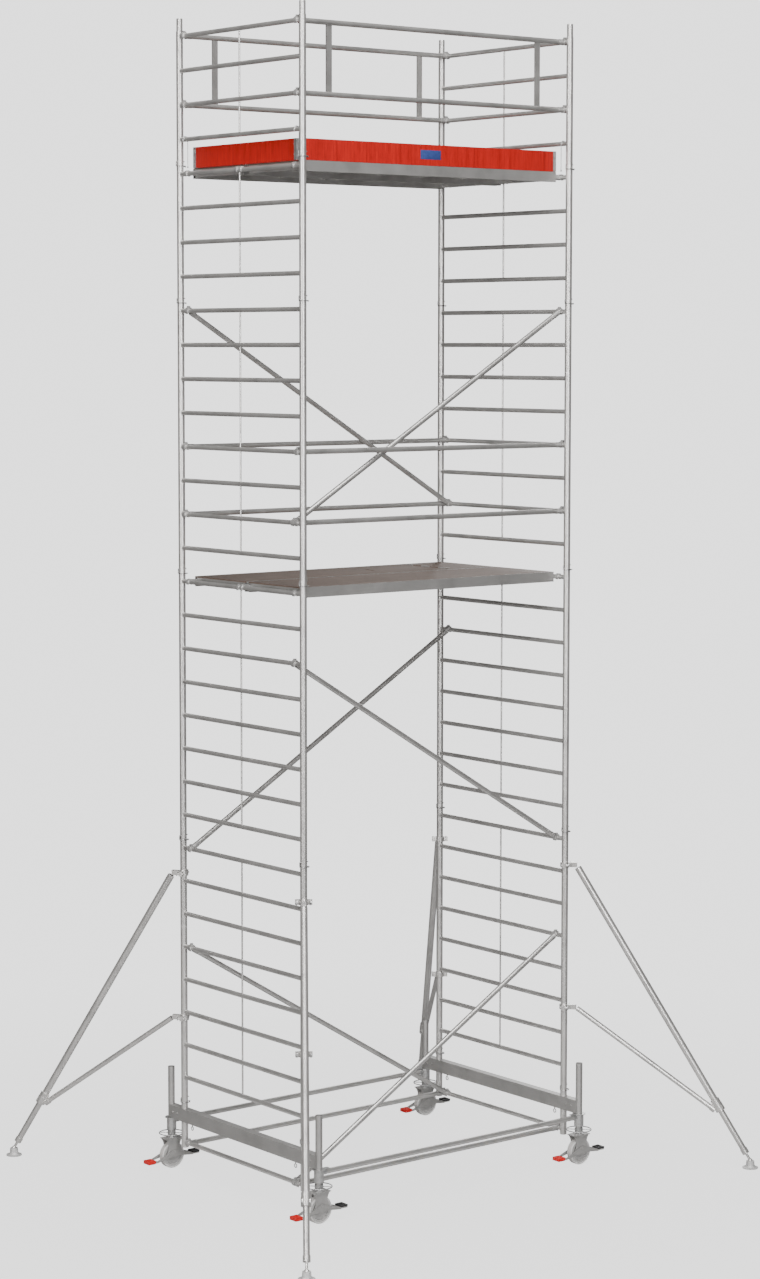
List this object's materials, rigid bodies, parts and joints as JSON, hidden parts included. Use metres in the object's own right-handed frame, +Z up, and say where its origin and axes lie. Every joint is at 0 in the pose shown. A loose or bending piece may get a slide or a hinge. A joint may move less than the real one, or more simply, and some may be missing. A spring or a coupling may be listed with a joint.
{
  "type": "mobile tower scaffold",
  "caption": "Tall aluminium tower on braked casters with telescopic outriggers, ladder end frames, diagonal braces, two hatched decks, guard rails and red toe boards.",
  "frame": {"origin": "on the floor, midway between the four posts", "axes": "+Z up, +X along the long side towards the right end, -Y towards the front"},
  "size_m": [4.4156, 3.9623, 8.615],
  "materials": {
    "frame_tube": "satin extruded tube",
    "rail_tube": "satin extruded tube",
    "beam_section": "satin box section",
    "cast_claw": "cast and tumbled",
    "zinc_fittings": "zinc plated",
    "clip_wire": "zinc plated wire",
    "deck_section": "satin box section",
    "deck_board": "film faced plywood",
    "toe_board": "red stained plywood",
    "spindle_steel": "zinc plated",
    "pressed_fork": "grey satin",
    "wheel_plastic": "moulded grey",
    "pedal_steel": "grey plate, red and black pads",
    "foot_casting": "moulded grey",
    "outrigger_tube": "satin extruded tube"
  },
  "bodies": {
    "tower": {"base_frame_left": "frame_tube", "base_frame_right": "frame_tube", "base_rails": "rail_tube", "chassis_beam_left": "beam_section", "chassis_beam_right": "beam_section", "deck_claws": "cast_claw", "diagonal_braces_front": "rail_tube", "diagonal_braces_rear": "rail_tube", "ladder_frame_left_1": "frame_tube", "ladder_frame_left_2": "frame_tube", "ladder_frame_left_3": "frame_tube", "ladder_frame_left_4": "frame_tube", "ladder_frame_left_5": "frame_tube", "ladder_frame_right_1": "frame_tube", "ladder_frame_right_2": "frame_tube", "ladder_frame_right_3": "frame_tube", "ladder_frame_right_4": "frame_tube", "ladder_frame_right_5": "frame_tube", "leg_couplers": "zinc_fittings", "locking_clips": "clip_wire", "lower_deck_boards": "deck_board", "lower_deck_frame": "deck_section", "middle_guard_rails": "rail_tube", "rail_claws": "cast_claw", "toe_board_brackets": "zinc_fittings", "toe_boards": "toe_board", "top_guard_rail_front": "rail_tube", "top_guard_rail_rear": "rail_tube", "upper_deck_boards": "deck_board", "upper_deck_frame": "deck_section"},
    "caster_spindle_front_left": {"caster_spindle_front_left": "spindle_steel"},
    "height_nut_front_left": {"height_nut_front_left": "clip_wire"},
    "caster_fork_front_left": {"caster_fork_front_left": "pressed_fork"},
    "caster_wheel_front_left": {"caster_wheel_front_left": "wheel_plastic"},
    "brake_pedal_front_left": {"brake_pedal_front_left": "pedal_steel"},
    "outrigger_front_left": {"outrigger_front_left": "outrigger_tube"},
    "outrigger_foot_front_left": {"outrigger_foot_front_left": "foot_casting"},
    "caster_spindle_rear_left": {"caster_spindle_rear_left": "spindle_steel"},
    "height_nut_rear_left": {"height_nut_rear_left": "clip_wire"},
    "caster_fork_rear_left": {"caster_fork_rear_left": "pressed_fork"},
    "caster_wheel_rear_left": {"caster_wheel_rear_left": "wheel_plastic"},
    "brake_pedal_rear_left": {"brake_pedal_rear_left": "pedal_steel"},
    "outrigger_rear_left": {"outrigger_rear_left": "outrigger_tube"},
    "outrigger_foot_rear_left": {"outrigger_foot_rear_left": "foot_casting"},
    "caster_spindle_rear_right": {"caster_spindle_rear_right": "spindle_steel"},
    "height_nut_rear_right": {"height_nut_rear_right": "clip_wire"},
    "caster_fork_rear_right": {"caster_fork_rear_right": "pressed_fork"},
    "caster_wheel_rear_right": {"caster_wheel_rear_right": "wheel_plastic"},
    "brake_pedal_rear_right": {"brake_pedal_rear_right": "pedal_steel"},
    "outrigger_rear_right": {"outrigger_rear_right": "outrigger_tube"},
    "outrigger_foot_rear_right": {"outrigger_foot_rear_right": "foot_casting"},
    "caster_spindle_front_right": {"caster_spindle_front_right": "spindle_steel"},
    "height_nut_front_right": {"height_nut_front_right": "clip_wire"},
    "caster_fork_front_right": {"caster_fork_front_right": "pressed_fork"},
    "caster_wheel_front_right": {"caster_wheel_front_right": "wheel_plastic"},
    "brake_pedal_front_right": {"brake_pedal_front_right": "pedal_steel"},
    "outrigger_front_right": {"outrigger_front_right": "outrigger_tube"},
    "outrigger_foot_front_right": {"outrigger_foot_front_right": "foot_casting"},
    "lower_hatch": {"lower_deck_hatch": "deck_board"},
    "upper_hatch": {"upper_deck_hatch": "deck_board"}
  },
  "joints": [
    {"name": "height_nut_turn_front_left", "type": "hinge", "parent": "tower", "child": "height_nut_front_left", "pos_m": [-1.25, -0.92, 0.268], "axis": [0, 0, 1], "range_deg": [0, 10800]},
    {"name": "spindle_extend_front_left", "type": "slide", "parent": "tower", "child": "caster_spindle_front_left", "axis": [0, 0, 1], "range_m": [-0.3, 0]},
    {"name": "fork_swivel_front_left", "type": "hinge", "parent": "caster_spindle_front_left", "child": "caster_fork_front_left", "pos_m": [-1.25, -0.92, 0.234], "axis": [0, 0, 1], "continuous": true},
    {"name": "wheel_roll_front_left", "type": "hinge", "parent": "caster_fork_front_left", "child": "caster_wheel_front_left", "pos_m": [-1.25, -0.92, 0.1], "axis": [0, 1, 0], "continuous": true},
    {"name": "brake_pedal_front_left", "type": "hinge", "parent": "caster_fork_front_left", "child": "brake_pedal_front_left", "pos_m": [-1.25, -0.92, 0.128], "axis": [0, 1, 0], "range_deg": [0, 8]},
    {"name": "outrigger_slew_front_left", "type": "hinge", "parent": "tower", "child": "outrigger_front_left", "pos_m": [-1.25, -0.745, 1.19], "axis": [0, 0, 1], "range_deg": [-43.5, 36.5]},
    {"name": "foot_tilt_front_left", "type": "hinge", "parent": "outrigger_front_left", "child": "outrigger_foot_front_left", "pos_m": [-2.09941, -1.89291, 0.058], "axis": [0.8039, -0.5948, 0], "range_deg": [-15, 15]},
    {"name": "height_nut_turn_rear_left", "type": "hinge", "parent": "tower", "child": "height_nut_rear_left", "pos_m": [-1.25, 0.92, 0.268], "axis": [0, 0, 1], "range_deg": [0, 10800]},
    {"name": "spindle_extend_rear_left", "type": "slide", "parent": "tower", "child": "caster_spindle_rear_left", "axis": [0, 0, 1], "range_m": [-0.3, 0]},
    {"name": "fork_swivel_rear_left", "type": "hinge", "parent": "caster_spindle_rear_left", "child": "caster_fork_rear_left", "pos_m": [-1.25, 0.92, 0.234], "axis": [0, 0, 1], "continuous": true},
    {"name": "wheel_roll_rear_left", "type": "hinge", "parent": "caster_fork_rear_left", "child": "caster_wheel_rear_left", "pos_m": [-1.25, 0.92, 0.1], "axis": [0, 1, 0], "continuous": true},
    {"name": "brake_pedal_rear_left", "type": "hinge", "parent": "caster_fork_rear_left", "child": "brake_pedal_rear_left", "pos_m": [-1.25, 0.92, 0.128], "axis": [0, 1, 0], "range_deg": [0, 8]},
    {"name": "outrigger_slew_rear_left", "type": "hinge", "parent": "tower", "child": "outrigger_rear_left", "pos_m": [-1.25, 0.745, 1.19], "axis": [0, 0, -1], "range_deg": [-47.5, 32.5]},
    {"name": "foot_tilt_rear_left", "type": "hinge", "parent": "outrigger_rear_left", "child": "outrigger_foot_rear_left", "pos_m": [-2.01726, 1.94936, 0.058], "axis": [-0.8434, -0.5373, 0], "range_deg": [-15, 15]},
    {"name": "height_nut_turn_rear_right", "type": "hinge", "parent": "tower", "child": "height_nut_rear_right", "pos_m": [1.25, 0.92, 0.268], "axis": [0, 0, 1], "range_deg": [0, 10800]},
    {"name": "spindle_extend_rear_right", "type": "slide", "parent": "tower", "child": "caster_spindle_rear_right", "axis": [0, 0, 1], "range_m": [-0.3, 0]},
    {"name": "fork_swivel_rear_right", "type": "hinge", "parent": "caster_spindle_rear_right", "child": "caster_fork_rear_right", "pos_m": [1.25, 0.92, 0.234], "axis": [0, 0, 1], "continuous": true},
    {"name": "wheel_roll_rear_right", "type": "hinge", "parent": "caster_fork_rear_right", "child": "caster_wheel_rear_right", "pos_m": [1.25, 0.92, 0.1], "axis": [0, 1, 0], "continuous": true},
    {"name": "brake_pedal_rear_right", "type": "hinge", "parent": "caster_fork_rear_right", "child": "brake_pedal_rear_right", "pos_m": [1.25, 0.92, 0.128], "axis": [0, 1, 0], "range_deg": [0, 8]},
    {"name": "outrigger_slew_rear_right", "type": "hinge", "parent": "tower", "child": "outrigger_rear_right", "pos_m": [1.25, 0.745, 1.19], "axis": [0, 0, 1], "range_deg": [-46.5, 33.5]},
    {"name": "foot_tilt_rear_right", "type": "hinge", "parent": "outrigger_rear_right", "child": "outrigger_foot_rear_right", "pos_m": [2.03817, 1.93579, 0.058], "axis": [-0.8339, 0.5519, 0], "range_deg": [-15, 15]},
    {"name": "height_nut_turn_front_right", "type": "hinge", "parent": "tower", "child": "height_nut_front_right", "pos_m": [1.25, -0.92, 0.268], "axis": [0, 0, 1], "range_deg": [0, 10800]},
    {"name": "spindle_extend_front_right", "type": "slide", "parent": "tower", "child": "caster_spindle_front_right", "axis": [0, 0, 1], "range_m": [-0.3, 0]},
    {"name": "fork_swivel_front_right", "type": "hinge", "parent": "caster_spindle_front_right", "child": "caster_fork_front_right", "pos_m": [1.25, -0.92, 0.234], "axis": [0, 0, 1], "continuous": true},
    {"name": "wheel_roll_front_right", "type": "hinge", "parent": "caster_fork_front_right", "child": "caster_wheel_front_right", "pos_m": [1.25, -0.92, 0.1], "axis": [0, 1, 0], "continuous": true},
    {"name": "brake_pedal_front_right", "type": "hinge", "parent": "caster_fork_front_right", "child": "brake_pedal_front_right", "pos_m": [1.25, -0.92, 0.128], "axis": [0, 1, 0], "range_deg": [0, 8]},
    {"name": "outrigger_slew_front_right", "type": "hinge", "parent": "tower", "child": "outrigger_front_right", "pos_m": [1.25, -0.745, 1.19], "axis": [0, 0, -1], "range_deg": [-38.5, 41.5]},
    {"name": "foot_tilt_front_right", "type": "hinge", "parent": "outrigger_front_right", "child": "outrigger_foot_front_right", "pos_m": [2.19622, -1.81451, 0.058], "axis": [0.749, 0.6626, 0], "range_deg": [-15, 15]},
    {"name": "lower_hatch_lift", "type": "hinge", "parent": "tower", "child": "lower_hatch", "pos_m": [0.762, 0.3375, 4.525], "axis": [0, 1, 0], "range_deg": [0, 100]},
    {"name": "upper_hatch_lift", "type": "hinge", "parent": "tower", "child": "upper_hatch", "pos_m": [0.762, 0.3375, 7.525], "axis": [0, 1, 0], "range_deg": [0, 100]}
  ],
  "couplings": [
    {"joint": "spindle_extend_front_left", "follows": "height_nut_turn_front_left", "m_per_rad": -0.0015915},
    {"joint": "spindle_extend_rear_left", "follows": "height_nut_turn_rear_left", "m_per_rad": -0.0015915},
    {"joint": "spindle_extend_rear_right", "follows": "height_nut_turn_rear_right", "m_per_rad": -0.0015915},
    {"joint": "spindle_extend_front_right", "follows": "height_nut_turn_front_right", "m_per_rad": -0.0015915}
  ]
}
